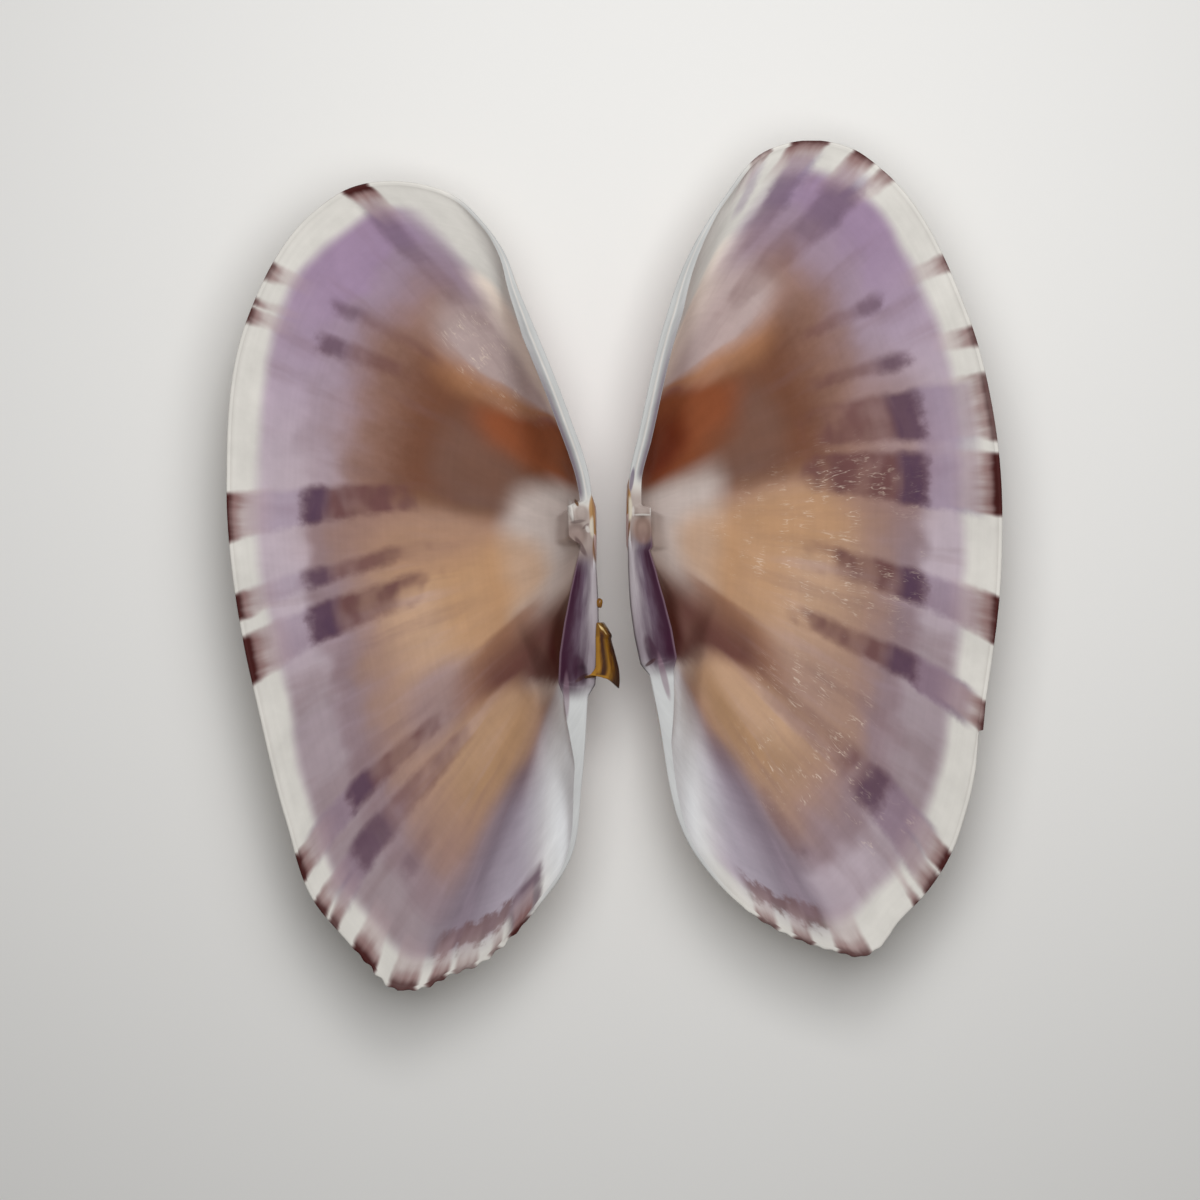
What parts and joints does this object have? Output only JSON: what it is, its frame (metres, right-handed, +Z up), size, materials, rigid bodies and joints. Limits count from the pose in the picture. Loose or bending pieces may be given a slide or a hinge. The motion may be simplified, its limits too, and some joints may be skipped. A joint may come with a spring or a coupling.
{
  "type": "sunset clam shell",
  "caption": "Empty bivalve shell lying open: matched long oval valves with truncated hind ends, insides up, pink-violet with maroon rays, and a torn brown ligament at the hinge.",
  "frame": {"origin": "middle of the pair of valves, on the surface that their bellies rest on", "axes": "+Z up, out of the open bowls; +Y towards the shell's front end, along the hinge; +X towards the left valve's open side"},
  "size_m": [0.0628, 0.0688, 0.0081],
  "materials": {
    "shell": "smooth porcelain-like shell, satin to glossy",
    "horn": "dry glossy amber-brown ligament"
  },
  "bodies": {
    "root": {"right_valve": "shell", "left_valve": "shell", "ligament": "horn", "ligament_fragment": "horn"}
  },
  "joints": []
}
